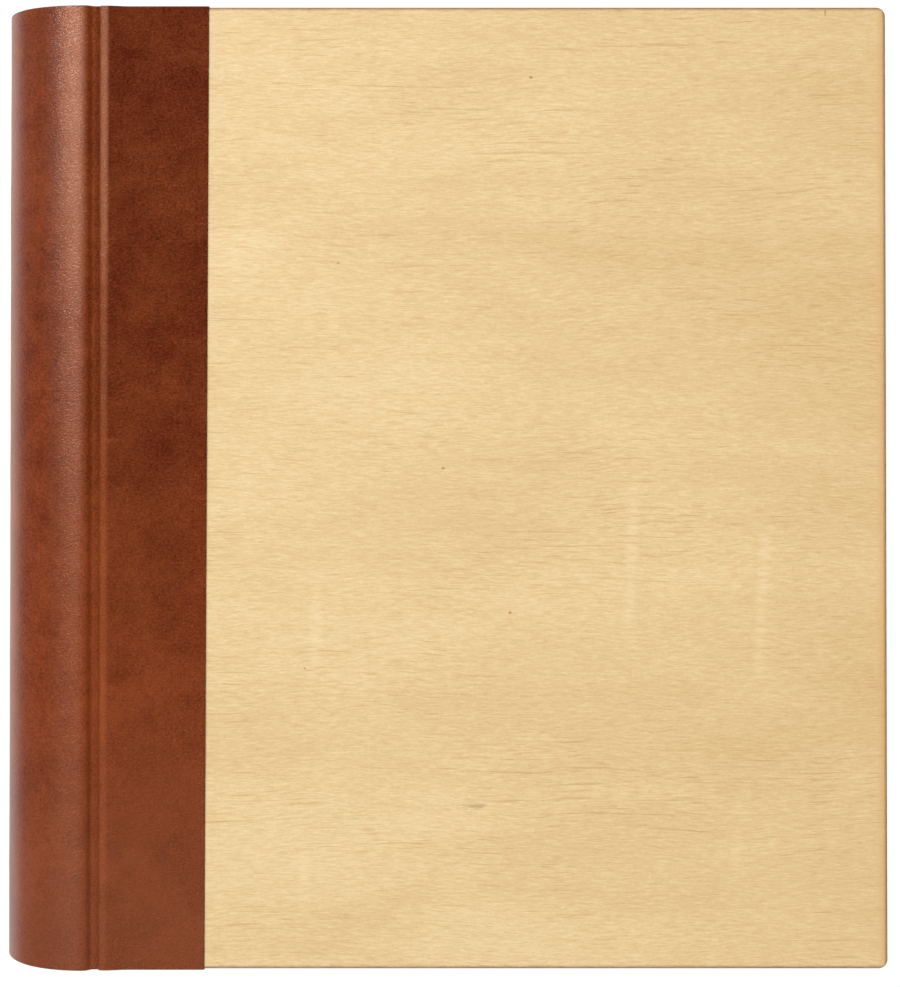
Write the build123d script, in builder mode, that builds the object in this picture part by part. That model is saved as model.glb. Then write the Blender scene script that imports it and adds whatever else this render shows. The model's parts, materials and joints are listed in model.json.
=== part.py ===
from build123d import *
import os
from math import asin, cos, degrees, sin, sqrt

# Guest book, quarter bound in leather, with plywood boards and a sewn text block.
# It lies flat on its rear cover: +X runs from the spine to the fore-edge, +Y from tail to head,
# +Z from the rear cover to the front cover. The origin is under the middle of the book.

# ---- Driving dimensions, in millimetres ----
book_width = 297.0  # spine's crest to the boards' fore-edge
book_thickness = 58.0  # over the leather of both covers
board_height = 320.0  # head to tail
board_thickness = 4.5
corner_radius = 3.0  # fore-edge corners of the boards
square = 4.0  # how far a board stands out past the text block

leather = 0.6  # thickness on the faces and round the spine
edge_leather = 0.45  # pared leather over the boards' head and tail edges
spine_cap = 0.8  # doubled leather at the head and tail of the spine
turn_in_leather = 0.5  # pared leather turned in behind the stiffener
spine_turn_in = 18.0  # how far it goes down inside the spine
leather_edge_x = -78.0  # cut edge of the leather on each board
stiffener = 1.5  # thickness of the spine's card

groove_width = 6.0  # joint groove, from the spine's roll to the board's leather
groove_depth = 2.0
roll_over_radius = 1.6  # where the spine's leather turns down into the groove
groove_corner = 0.4  # inside corner at the bottom of the groove
flank_lean = 0.5  # how far the groove's board side leans towards the board
hinge_gap = 0.2  # from the hinge line to the moving or the fixed side

pastedown = 0.25  # endpaper pasted to the board, and the pared turn-in beside it
mull = 0.2  # gauze glued inside each board
mull_wing_edge_x = -85.0
mull_wing_height = 304.0
paper_step = 0.4  # width of the endpaper's step over the edge of the gauze
leaf_thickness = 0.3
leaf_gap = 0.2
leaf_count = 8  # leaves of the first section
section_count = 9  # the other sections
section_clearance = 0.25  # between the fixed sections and the nearest leaf that turns

rounding = 12.0  # how far the middle of the spine stands out from its shoulders
shoulder_x = -118.5  # folds of the outermost leaves
fold_bulge = 1.2  # how far each fold stands out between its neighbours

tape_positions = (-108.0, -54.0, 0.0, 54.0, 108.0)
tape_width = 14.0
tape_thickness = 0.4
thread_diameter = 0.5
stitch_overhang = 1.5  # stitch past each side of its tape
kettle_position = 138.0  # kettle stitches near head and tail
kettle_length = 5.0
gauze_thickness = 0.3
gauze_height = 290.0
kraft_thickness = 0.4
lining_half_span = 20.0  # half the chord of the linings round the spine
endband_bead = 1.3  # radius of the endband's bead
endband_skirt = 7.0  # ribbon of the endband, glued to the spine
endband_thickness = 0.4
bead_clearance = 0.05
bead_sink = 0.3  # how far the bead is worked into its ribbon

# ---- Places that follow from them ----
middle_z = book_thickness / 2
fore_edge_x = book_width / 2
roll_x = -fore_edge_x + middle_z  # centre of the spine's roll
hinge_x = roll_x + groove_width / 2  # both covers turn about lines along Y in the middle of their grooves
board_x = roll_x + groove_width + leather + flank_lean  # boards' spine edge
board_top = book_thickness - leather
board_inside = board_top - board_thickness
half_height = board_height / 2
block_half_height = half_height - square
paper_edge_x = fore_edge_x - square
groove_floor = book_thickness - groove_depth
stiffener_outer = middle_z - leather
stiffener_inner = stiffener_outer - stiffener
middle_plane = Plane.XY.offset(middle_z)

wing_inside = board_inside - mull
flyleaf_top = wing_inside - pastedown - leaf_gap
leaf_pitch = leaf_thickness + leaf_gap
sections_top = flyleaf_top - leaf_count * leaf_pitch - leaf_thickness - section_clearance
sections_bottom = book_thickness - flyleaf_top + leaf_thickness + section_clearance
section_thickness = (sections_top - sections_bottom) / section_count

block_half_thickness = flyleaf_top - middle_z
spine_curve = (block_half_thickness**2 + rounding**2) / (2 * rounding)
spine_curve_x = shoulder_x - rounding + spine_curve
leaf_width = paper_edge_x - shoulder_x


def fold_x(z):
    """Where the rounded spine of the text block stands at height z."""
    return spine_curve_x - sqrt(spine_curve**2 - (z - middle_z) ** 2)


def fold_points(top, bottom):
    """Three points of a section's rounded fold, from its top to its bottom, inside the spine's curve."""
    inner_curve = spine_curve - fold_bulge
    top_angle = asin((top - middle_z) / inner_curve)
    bottom_angle = asin((bottom - middle_z) / inner_curve)
    crest_angle = (top_angle + bottom_angle) / 2
    crest = (
        spine_curve_x - spine_curve * cos(crest_angle),
        middle_z + spine_curve * sin(crest_angle),
    )
    return (
        (spine_curve_x - inner_curve * cos(top_angle), top),
        crest,
        (spine_curve_x - inner_curve * cos(bottom_angle), bottom),
    )


def leaf_bottom(number):
    """Underside of a turning leaf; number 0 is the front flyleaf."""
    return flyleaf_top - leaf_thickness - number * leaf_pitch


def leaf_edge_x(z):
    """Fore-edge of the leaf at height z: every leaf is equally wide."""
    return fold_x(z) + leaf_width


def finish(builder, name):
    """Label a finished piece and write it."""
    builder.part.label = name
    export_step(builder.part, f"parts/{name}.step")


os.makedirs("parts", exist_ok=True)

# ---- Boards: plywood, with the two fore-edge corners rounded ----
with BuildPart() as front_board:
    with BuildSketch(Plane.XY.offset(board_inside)):
        with Locations((board_x, 0)):
            Rectangle(fore_edge_x - board_x, board_height, align=(Align.MIN, Align.CENTER))
    extrude(amount=board_thickness)
    fore_corners = front_board.edges().filter_by(Axis.Z).group_by(Axis.X)[-1]
    fillet(fore_corners, radius=corner_radius)
finish(front_board, "front_board")

with BuildPart() as rear_board:
    mirror(front_board.part, about=middle_plane)
finish(rear_board, "rear_board")

# ---- Leather on the boards: from the groove, over the board's edge and onto its face ----
with BuildPart() as front_leather:
    with BuildSketch(Plane.XZ):
        with BuildLine():
            groove_side = hinge_x + hinge_gap
            rise_x = board_x - leather - groove_corner
            groove_line = Line((groove_side, groove_floor), (rise_x, groove_floor))
            rise = TangentArc(
                (rise_x, groove_floor),
                (rise_x + groove_corner, groove_floor + groove_corner),
                tangent=(1, 0),
            )
            flank = Line(rise @ 1, (board_x - leather, board_top))
            shoulder = TangentArc(flank @ 1, (board_x, book_thickness), tangent=(0, 1))
            Polyline(
                shoulder @ 1,
                (leather_edge_x, book_thickness),
                (leather_edge_x, board_top),
                (board_x, board_top),
                (board_x, groove_floor - leather),
                (groove_side, groove_floor - leather),
                groove_line @ 0,
            )
        make_face()
    extrude(amount=half_height + edge_leather, both=True)
    for side in (-1, 1):
        with BuildSketch(Plane.XY.offset(board_inside - pastedown)):
            with Locations((board_x, side * half_height)):
                Rectangle(
                    leather_edge_x - board_x,
                    edge_leather,
                    align=(Align.MIN, Align.MIN if side > 0 else Align.MAX),
                )
        extrude(amount=board_thickness + pastedown)
        with BuildSketch(Plane.XY.offset(board_inside - pastedown)):
            with Locations((board_x, side * half_height)):
                Rectangle(
                    leather_edge_x - board_x,
                    square,
                    align=(Align.MIN, Align.MAX if side > 0 else Align.MIN),
                )
        extrude(amount=pastedown)
finish(front_leather, "front_leather")

with BuildPart() as rear_leather:
    mirror(front_leather.part, about=middle_plane)
finish(rear_leather, "rear_leather")

# ---- Gauze wings glued inside the boards, and the endpapers pasted over them ----
with BuildPart() as front_mull_wing:
    with BuildSketch(Plane.XY.offset(wing_inside)):
        with Locations((hinge_x + hinge_gap, 0)):
            wing_width = mull_wing_edge_x - hinge_x - hinge_gap
            Rectangle(wing_width, mull_wing_height, align=(Align.MIN, Align.CENTER))
    extrude(amount=mull)
finish(front_mull_wing, "front_mull_wing")

with BuildPart() as rear_mull_wing:
    mirror(front_mull_wing.part, about=middle_plane)
finish(rear_mull_wing, "rear_mull_wing")

with BuildPart() as front_pastedown:
    with BuildSketch(Plane.XZ):
        with BuildLine():
            Polyline(
                (hinge_x + hinge_gap, wing_inside),
                (mull_wing_edge_x, wing_inside),
                (mull_wing_edge_x, board_inside),
                (paper_edge_x, board_inside),
                (paper_edge_x, board_inside - pastedown),
                (mull_wing_edge_x + paper_step, board_inside - pastedown),
                (mull_wing_edge_x + paper_step, wing_inside - pastedown),
                (hinge_x + hinge_gap, wing_inside - pastedown),
                close=True,
            )
        make_face()
    extrude(amount=block_half_height, both=True)
finish(front_pastedown, "front_pastedown")

with BuildPart() as rear_pastedown:
    mirror(front_pastedown.part, about=middle_plane)
finish(rear_pastedown, "rear_pastedown")

# ---- Spine: a curved card, and the leather that covers it and turns in at both ends ----
with BuildPart() as spine_stiffener:
    with BuildSketch(Plane.XZ):
        with Locations((roll_x, middle_z)):
            Circle(stiffener_outer)
            Circle(stiffener_inner, mode=Mode.SUBTRACT)
            Rectangle(
                2 * middle_z,
                2 * book_thickness,
                align=(Align.MIN, Align.CENTER),
                mode=Mode.SUBTRACT,
            )
    extrude(amount=half_height, both=True)
finish(spine_stiffener, "spine_stiffener")

with BuildPart() as spine_leather:
    with BuildSketch(Plane.XZ):
        with BuildLine():
            outer_over = TangentArc(
                (roll_x, book_thickness),
                (roll_x + roll_over_radius, book_thickness - roll_over_radius),
                tangent=(1, 0),
            )
            outer_foot = TangentArc(
                outer_over @ 1,
                (roll_x + roll_over_radius + groove_corner, groove_floor),
                tangent=(0, -1),
            )
            Polyline(
                outer_foot @ 1,
                (hinge_x - hinge_gap, groove_floor),
                (hinge_x - hinge_gap, groove_floor - leather),
                (roll_x + roll_over_radius + groove_corner, groove_floor - leather),
            )
            inner_foot = TangentArc(
                (roll_x + roll_over_radius + groove_corner, groove_floor - leather),
                (roll_x + roll_over_radius - leather, book_thickness - roll_over_radius),
                tangent=(-1, 0),
            )
            inner_over = TangentArc(
                inner_foot @ 1, (roll_x, board_top), tangent=(0, 1)
            )
            Line(inner_over @ 1, (roll_x, book_thickness))
        make_face()
        mirror(about=Plane.XZ.offset(-middle_z))
        with Locations((roll_x, middle_z)):
            with BuildSketch(mode=Mode.PRIVATE) as half_ring:
                Circle(middle_z)
                Circle(stiffener_outer, mode=Mode.SUBTRACT)
                Rectangle(
                    2 * middle_z,
                    2 * book_thickness,
                    align=(Align.MIN, Align.CENTER),
                    mode=Mode.SUBTRACT,
                )
            add(half_ring.sketch)
    extrude(amount=half_height + spine_cap, both=True)
    for side in (-1, 1):
        for start, length, outer in (
            (half_height, spine_cap, stiffener_outer),
            (half_height - spine_turn_in, spine_turn_in, stiffener_inner),
        ):
            with BuildSketch(Plane.XZ.offset(-side * start)):
                with Locations((roll_x, middle_z)):
                    Circle(outer)
                    Circle(stiffener_inner - turn_in_leather, mode=Mode.SUBTRACT)
                    Rectangle(
                        2 * middle_z,
                        2 * book_thickness,
                        align=(Align.MIN, Align.CENTER),
                        mode=Mode.SUBTRACT,
                    )
            extrude(amount=-side * length)
finish(spine_leather, "spine_leather")

# ---- Endpaper folds: the strip of each endpaper that stays in the joint ----
fold_bottom = flyleaf_top - leaf_thickness
fold_top = wing_inside
with BuildPart() as front_endpaper_fold:
    with BuildSketch(Plane.XZ):
        with BuildLine():
            Polyline(
                (shoulder_x, fold_top),
                (hinge_x - hinge_gap, fold_top),
                (hinge_x - hinge_gap, fold_bottom),
                (shoulder_x, fold_bottom),
            )
            fold_middle = (fold_bottom + fold_top) / 2
            fold_radius = (fold_top - fold_bottom) / 2
            ThreePointArc(
                (shoulder_x, fold_bottom),
                (shoulder_x - fold_radius, fold_middle),
                (shoulder_x, fold_top),
            )
        make_face()
    extrude(amount=block_half_height, both=True)
finish(front_endpaper_fold, "front_endpaper_fold")

with BuildPart() as rear_endpaper_fold:
    mirror(front_endpaper_fold.part, about=middle_plane)
finish(rear_endpaper_fold, "rear_endpaper_fold")

# ---- Leaves that turn: the front flyleaf and the leaves of the first section ----
for number in range(leaf_count + 1):
    bottom = leaf_bottom(number)
    leaf_start = hinge_x + hinge_gap
    with BuildPart() as leaf:
        with BuildSketch(Plane.XY.offset(bottom)):
            with Locations((leaf_start, 0)):
                Rectangle(
                    leaf_edge_x(bottom) - leaf_start,
                    2 * block_half_height,
                    align=(Align.MIN, Align.CENTER),
                )
        extrude(amount=leaf_thickness)
    finish(leaf, f"leaf_{number}" if number else "front_flyleaf")
    if number == 0:
        with BuildPart() as rear_flyleaf:
            mirror(leaf.part, about=middle_plane)
        finish(rear_flyleaf, "rear_flyleaf")

with BuildPart() as section_01_folds:
    top = leaf_bottom(1) + leaf_thickness
    bottom = leaf_bottom(leaf_count)
    fold_start, fold_crest, fold_end = fold_points(top, bottom)
    with BuildSketch(Plane.XZ):
        with BuildLine():
            Polyline(
                fold_start,
                (hinge_x - hinge_gap, top),
                (hinge_x - hinge_gap, bottom),
                fold_end,
            )
            ThreePointArc(fold_end, fold_crest, fold_start)
        make_face()
    extrude(amount=block_half_height, both=True)
finish(section_01_folds, "section_01_folds")

# ---- The other sections: folded at the rounded spine, cut hollow at the fore-edge ----
for number in range(section_count):
    top = sections_top - number * section_thickness
    bottom = top - section_thickness
    middle = (top + bottom) / 2
    fold_start, fold_crest, fold_end = fold_points(top, bottom)
    with BuildPart() as section:
        with BuildSketch(Plane.XZ):
            with BuildLine():
                Line(fold_start, (leaf_edge_x(top), top))
                ThreePointArc(
                    (leaf_edge_x(top), top),
                    (leaf_edge_x(middle), middle),
                    (leaf_edge_x(bottom), bottom),
                )
                Line((leaf_edge_x(bottom), bottom), fold_end)
                ThreePointArc(fold_end, fold_crest, fold_start)
            make_face()
        extrude(amount=block_half_height, both=True)
    finish(section, f"section_{number + 2:02d}")


def spine_ribbon(inner, outer, half_span, start, end):
    """Curved strip round the text block's spine, between two radii and from start to end along Y."""
    half_angle = asin(half_span / inner)
    corners = []
    for radius, angle in (
        (inner, half_angle),
        (inner, 0),
        (inner, -half_angle),
        (outer, -half_angle),
        (outer, 0),
        (outer, half_angle),
    ):
        corners.append((spine_curve_x - radius * cos(angle), middle_z + radius * sin(angle)))
    with BuildPart(mode=Mode.PRIVATE) as ribbon:
        with BuildSketch(Plane.XZ.offset(-start)):
            with BuildLine():
                ThreePointArc(corners[0], corners[1], corners[2])
                Line(corners[2], corners[3])
                ThreePointArc(corners[3], corners[4], corners[5])
                Line(corners[5], corners[0])
            make_face()
        extrude(amount=start - end)
    return ribbon.part


# ---- Sewing: tapes across the spine, a stitch round each tape at each fold, kettle stitches ----
tape_outer = spine_curve + tape_thickness
tape_shapes = [
    spine_ribbon(spine_curve, tape_outer, lining_half_span, y - tape_width / 2, y + tape_width / 2)
    for y in tape_positions
]
with BuildPart() as sewing_tapes:
    add(tape_shapes)
finish(sewing_tapes, "sewing_tapes")

stitch_radius = tape_outer + thread_diameter / 2
stitches = [(y, tape_width + 2 * stitch_overhang) for y in tape_positions]
stitches += [(side * kettle_position, kettle_length) for side in (-1, 1)]
with BuildPart() as sewing_thread:
    for number in range(section_count):
        height = sections_top - (number + 0.5) * section_thickness - middle_z
        if abs(height) < lining_half_span - thread_diameter:
            angle = asin(height / stitch_radius)
            stitch_x = spine_curve_x - stitch_radius * cos(angle)
            for y, length in stitches:
                with BuildSketch(Plane.XZ.offset(length / 2 - y)):
                    with Locations((stitch_x, middle_z + height)):
                        Circle(thread_diameter / 2)
                extrude(amount=-length)
finish(sewing_thread, "sewing_thread")

# ---- Linings: gauze over the stitches, kraft paper over the gauze ----
gauze_inner = tape_outer + thread_diameter
gauze_outer = gauze_inner + gauze_thickness
gauze_shape = spine_ribbon(
    gauze_inner, gauze_outer, lining_half_span, -gauze_height / 2, gauze_height / 2
)
with BuildPart() as spine_mull:
    add(gauze_shape)
finish(spine_mull, "spine_mull")

kraft_shape = spine_ribbon(
    gauze_outer,
    gauze_outer + kraft_thickness,
    lining_half_span,
    -gauze_height / 2,
    gauze_height / 2,
)
with BuildPart() as spine_lining:
    add(kraft_shape)
finish(spine_lining, "spine_lining")

# ---- Endbands: a bead that sits on the edge of the folds, on a ribbon glued to the spine ----
bead_radius = spine_curve - endband_bead + bead_sink
bead_angle = asin(lining_half_span / spine_curve)
bead_start = Plane(
    origin=(spine_curve_x, 0, middle_z),
    x_dir=(-cos(bead_angle), 0, -sin(bead_angle)),
    z_dir=(sin(bead_angle), 0, -cos(bead_angle)),
)
with BuildPart() as headband:
    with BuildSketch(bead_start):
        with Locations((bead_radius, block_half_height + endband_bead + bead_clearance)):
            Circle(endband_bead)
    revolve(
        axis=Axis((spine_curve_x, 0, middle_z), (0, 1, 0)),
        revolution_arc=2 * degrees(bead_angle),
    )
    add(
        spine_ribbon(
            spine_curve,
            spine_curve + endband_thickness,
            lining_half_span,
            block_half_height - endband_skirt,
            block_half_height + endband_bead,
        )
    )
finish(headband, "headband")

with BuildPart() as tailband:
    mirror(headband.part, about=Plane.XZ)
finish(tailband, "tailband")
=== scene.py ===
"""Looks of a quarter-leather guest book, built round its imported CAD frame."""

import json
import math
import random
from types import SimpleNamespace

import bmesh
import bpy
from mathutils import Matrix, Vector, noise
from mathutils.geometry import interpolate_bezier

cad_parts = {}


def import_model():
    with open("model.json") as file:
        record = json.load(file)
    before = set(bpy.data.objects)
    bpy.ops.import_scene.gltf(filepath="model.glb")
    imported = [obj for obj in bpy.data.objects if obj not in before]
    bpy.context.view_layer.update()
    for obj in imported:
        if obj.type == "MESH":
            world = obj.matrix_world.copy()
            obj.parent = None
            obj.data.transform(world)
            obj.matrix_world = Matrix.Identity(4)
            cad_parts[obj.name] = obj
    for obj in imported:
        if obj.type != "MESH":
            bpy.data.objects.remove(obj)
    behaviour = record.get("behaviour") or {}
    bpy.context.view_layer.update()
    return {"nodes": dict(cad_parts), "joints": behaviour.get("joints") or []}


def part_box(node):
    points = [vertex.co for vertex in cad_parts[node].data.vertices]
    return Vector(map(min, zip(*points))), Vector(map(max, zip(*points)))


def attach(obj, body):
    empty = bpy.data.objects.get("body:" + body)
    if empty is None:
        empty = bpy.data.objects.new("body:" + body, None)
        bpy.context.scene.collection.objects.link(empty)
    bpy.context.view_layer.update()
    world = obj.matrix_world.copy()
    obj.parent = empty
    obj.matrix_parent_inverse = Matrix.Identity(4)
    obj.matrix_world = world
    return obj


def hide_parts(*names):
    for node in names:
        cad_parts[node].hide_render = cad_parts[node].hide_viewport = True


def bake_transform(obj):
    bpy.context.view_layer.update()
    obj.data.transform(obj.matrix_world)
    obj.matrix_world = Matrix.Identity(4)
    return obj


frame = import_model()

# Shapes are worked out in millimetres and written to meshes in metres.
MM = 0.001
REST = "rest_mm"  # attribute with each vertex's place at rest, which the materials follow


def box_mm(node):
    """Lowest and highest corner of a CAD node, in millimetres."""
    low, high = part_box(node)
    return low / MM, high / MM


# ---- Places read from the frame ----
board_low, board_high = box_mm("front_board")
leather_high = box_mm("front_leather")[1]
spine_low, spine_high = box_mm("spine_leather")
stiffener_low = box_mm("spine_stiffener")[0]
pastedown_low, pastedown_high = box_mm("front_pastedown")
wing_high = box_mm("front_mull_wing")[1]
joints = {joint["name"]: joint for joint in frame["joints"]}
hinge_x = joints["front_cover_hinge"]["pos_m"][0] / MM
middle_z = (spine_low.z + spine_high.z) / 2
top_z = leather_high.z
roll_radius = spine_high.z - middle_z
roll_x = spine_low.x + roll_radius
spine_half = spine_high.y
board_half = board_high.y
leather_half = leather_high.y
block_half = box_mm("section_06")[1].y
leaf_thickness = box_mm("leaf_1")[1].z - box_mm("leaf_1")[0].z
section_names = [f"section_{number:02d}" for number in range(2, 11)]
leaf_names = [f"leaf_{number}" for number in range(1, 9)]


def edge_circle():
    """Centre and radius of the hollow fore-edge, from the flyleaf and the last leaf that turns."""
    first_low, first_high = box_mm("front_flyleaf")
    last_low, last_high = box_mm(leaf_names[-1])
    first_rise = first_low.z - middle_z
    last_rise = last_low.z - middle_z
    squares = first_high.x**2 - last_high.x**2 + first_rise**2 - last_rise**2
    centre = squares / (2 * (first_high.x - last_high.x))
    return centre, math.hypot(centre - first_high.x, first_rise)


edge_centre_x, block_curve = edge_circle()
fold_centre_x = box_mm("section_06")[0].x + block_curve


def fold_x(z):
    """Spine fold of the leaf at height z."""
    return fold_centre_x - math.sqrt(block_curve**2 - (z - middle_z) ** 2)


def edge_x(z):
    """Fore-edge of the leaf at height z."""
    return edge_centre_x - math.sqrt(block_curve**2 - (z - middle_z) ** 2)


# Corners of the leather's outline, as (x, z), from the roll's top into the groove and onto the board.
roll_end = Vector((roll_x, top_z))
roll_turn = Vector((hinge_x - 0.9, top_z - 0.75))
groove_bottom = Vector((hinge_x + 1.6, top_z - 2.0))
flank_top = Vector((hinge_x + 2.75, top_z - 0.95))
panel_start = Vector((hinge_x + 5.5, top_z))


# ---- Node helpers ----
class Tree:
    """Builds one material's nodes. Helpers that make a node return its output socket."""

    def __init__(self, name, on_cad=False):
        self.material = bpy.data.materials.new(name)
        self.material.use_nodes = True
        self.nodes = self.material.node_tree.nodes
        self.links = self.material.node_tree.links
        self.shader = self.nodes["Principled BSDF"]
        if on_cad:
            place = self.add("ShaderNodeTexCoord").outputs["Object"]
            self.place = self.vector("SCALE", place, scale=1 / MM)
        else:
            attribute = self.add("ShaderNodeAttribute")
            attribute.attribute_name = REST
            self.place = attribute.outputs["Vector"]

    def add(self, kind, **settings):
        """A new node, which is returned itself."""
        made = self.nodes.new(kind)
        for key, value in settings.items():
            setattr(made, key, value)
        return made

    def put(self, socket, value):
        """Link a socket to an input, or set the input's constant."""
        if isinstance(value, bpy.types.NodeSocket):
            self.links.new(value, socket)
        else:
            socket.default_value = value

    def vector(self, operation, a, b=None, scale=None):
        made = self.add("ShaderNodeVectorMath", operation=operation)
        self.put(made.inputs[0], a)
        if b is not None:
            self.put(made.inputs[1], b)
        if scale is not None:
            self.put(made.inputs["Scale"], scale)
        return made.outputs["Vector"]

    def math(self, operation, a, b=0.0, clamp=False):
        made = self.add("ShaderNodeMath", operation=operation, use_clamp=clamp)
        self.put(made.inputs[0], a)
        self.put(made.inputs[1], b)
        return made.outputs["Value"]

    def axis(self, place, name):
        split = self.add("ShaderNodeSeparateXYZ")
        self.put(split.inputs[0], place)
        return split.outputs[name]

    def noise(self, place, scale=1.0, detail=3.0, roughness=0.5, distortion=0.0):
        made = self.add("ShaderNodeTexNoise")
        self.put(made.inputs["Vector"], place)
        self.put(made.inputs["Scale"], scale)
        self.put(made.inputs["Detail"], detail)
        self.put(made.inputs["Roughness"], roughness)
        self.put(made.inputs["Distortion"], distortion)
        return made.outputs["Fac"]

    def cell_edges(self, place):
        """Distance to the nearest edge between Voronoi cells."""
        made = self.add("ShaderNodeTexVoronoi", feature="DISTANCE_TO_EDGE")
        self.put(made.inputs["Vector"], place)
        self.put(made.inputs["Scale"], 1.0)
        return made.outputs["Distance"]

    def distance(self, value, centre):
        """How far a value is from a centre, on either side."""
        return self.math("ABSOLUTE", self.math("SUBTRACT", value, centre))

    def ramp(self, value, low, high, start=0.0, end=1.0, smooth=True):
        """From start where the value is low to end where it is high, and level outside them."""
        made = self.add("ShaderNodeMapRange")
        made.interpolation_type = "SMOOTHSTEP" if smooth else "LINEAR"
        self.put(made.inputs["Value"], value)
        self.put(made.inputs["From Min"], low)
        self.put(made.inputs["From Max"], high)
        self.put(made.inputs["To Min"], start)
        self.put(made.inputs["To Max"], end)
        return made.outputs["Result"]

    def mix(self, factor, a, b, mode="MIX"):
        made = self.add("ShaderNodeMix", data_type="RGBA", blend_type=mode)
        self.put(made.inputs[0], factor)
        self.put(made.inputs[6], (*a, 1.0) if isinstance(a, tuple) else a)
        self.put(made.inputs[7], (*b, 1.0) if isinstance(b, tuple) else b)
        return made.outputs[2]

    def bump(self, height, distance, strength=1.0):
        made = self.add("ShaderNodeBump")
        self.put(made.inputs["Height"], height)
        self.put(made.inputs["Distance"], distance * MM)
        self.put(made.inputs["Strength"], strength)
        return made.outputs["Normal"]

    def finish(self, color, roughness, normal=None, **constants):
        """Put the results on the shader and return the material."""
        self.put(self.shader.inputs["Base Color"], color)
        self.put(self.shader.inputs["Roughness"], roughness)
        if normal is not None:
            self.put(self.shader.inputs["Normal"], normal)
        for name, value in constants.items():
            self.put(self.shader.inputs[name.replace("_", " ")], value)
        return self.material


# ---- Materials ----
# Marks on the front board, in millimetres: rubbed lines as (x, head end, foot end, lean),
# pin knots and a smudge as (place, half width, half height, darkness).
RUBBED = (
    (64.9, 4.0, -52.0, 0.05),
    (108.4, -14.5, -64.0, 0.06),
    (-41.0, -34.0, -61.0, 0.03),
    (-45.4, -121.0, -138.0, 0.0),
    (98.3, -115.0, -128.0, 0.0),
)
SPECKS = (
    ((30.1, 136.6), 0.7, 0.45, 0.7),
    ((23.1, -41.8), 0.5, 0.5, 0.65),
    ((0.8, 6.2), 0.45, 0.45, 0.6),
    ((-45.2, -60.5), 0.5, 0.4, 0.55),
    ((-34.2, 74.5), 0.5, 0.35, 0.4),
    ((11.4, -106.2), 4.2, 0.8, 0.3),
    ((128.5, 158.2), 0.35, 1.1, 0.5),
)


# Leather colours, linear.
SADDLE_DARK = (0.090, 0.0105, 0.0015)
SADDLE_LIGHT = (0.235, 0.050, 0.013)
SADDLE_WEAR_AND_HIGHLIGHT = (0.36, 0.090, 0.026)  # crown of the roll and ridge beside the groove: lighter worn leather and a painted highlight
SADDLE_PAINTED_HIGHLIGHT = (0.46, 0.17, 0.085)  # painted highlight on the same two near the head
SADDLE_LIMB_REFLECTION = (0.36, 0.090, 0.022)  # painted reflection along the outermost side of the roll
SADDLE_FOOT = (0.20, 0.064, 0.033)  # duller brown towards the foot
SADDLE_SCUFF = (0.36, 0.11, 0.035)
SADDLE_VALLEY_SHADE = (0.05, 0.005, 0.0015)  # painted shade between the pebbles
GLOSS_TINT = (1.0, 0.88, 0.78, 1.0)


def leather_zones(t):
    """Masks from 0 to 1 for the roll, its crown and limb, and the ridge beside the groove."""
    x, y = t.axis(t.place, "X"), t.axis(t.place, "Y")
    zones = SimpleNamespace(x=x, y=y)
    zones.headward = t.ramp(y, -150.0, 150.0)
    zones.on_roll = t.ramp(x, groove_bottom.x + 0.5, groove_bottom.x - 2.0)
    zones.ridge = t.ramp(t.distance(x, hinge_x + 4.1), 2.1, 0.2)
    zones.crown_end = t.ramp(x, hinge_x - 0.8, hinge_x - 5.3)
    zones.crown = t.math("MULTIPLY", t.ramp(x, hinge_x - 14.0, hinge_x - 5.0), zones.crown_end)
    limb = t.ramp(x, spine_low.x + 7.0, spine_low.x + 2.0)
    zones.limb = t.math("MULTIPLY", limb, t.ramp(zones.headward, 0.05, 0.25))
    return zones


def leather_tone(t, zones, blotch):
    """From 0 for the darkest leather to 1 for the lightest: mottling, painted light that makes the
    leather lighter towards the foot, and a lighter groove.
    """
    cloud = t.noise(t.place, 0.035, 4.0, 0.6, 0.6)
    fleck = t.noise(t.vector("MULTIPLY", t.place, (1.0, 1.4, 1.0)), 1.0, 3.0, 0.65)
    tone = t.math("SUBTRACT", cloud, 0.5)
    for pattern, weight in ((blotch, 0.9), (fleck, 1.9)):
        tone = t.math("ADD", tone, t.math("MULTIPLY", t.math("SUBTRACT", pattern, 0.5), weight))
    # Painted light: the panel and the roll are made lighter towards the foot, where more light falls.
    panel_painted_light = t.ramp(zones.y, 70.0, -150.0, 0.38, 1.0)
    roll_painted_light = t.math("SUBTRACT", t.ramp(zones.y, 50.0, -150.0, 0.5, 0.65), panel_painted_light)
    painted_light_by_place = t.math("ADD", panel_painted_light, t.math("MULTIPLY", roll_painted_light, zones.on_roll))
    in_groove = t.ramp(t.distance(zones.x, groove_bottom.x - 1.0), 3.4, 1.2, 0.0, 0.22)
    return t.math("ADD", tone, t.math("ADD", painted_light_by_place, in_groove), clamp=True)


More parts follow.
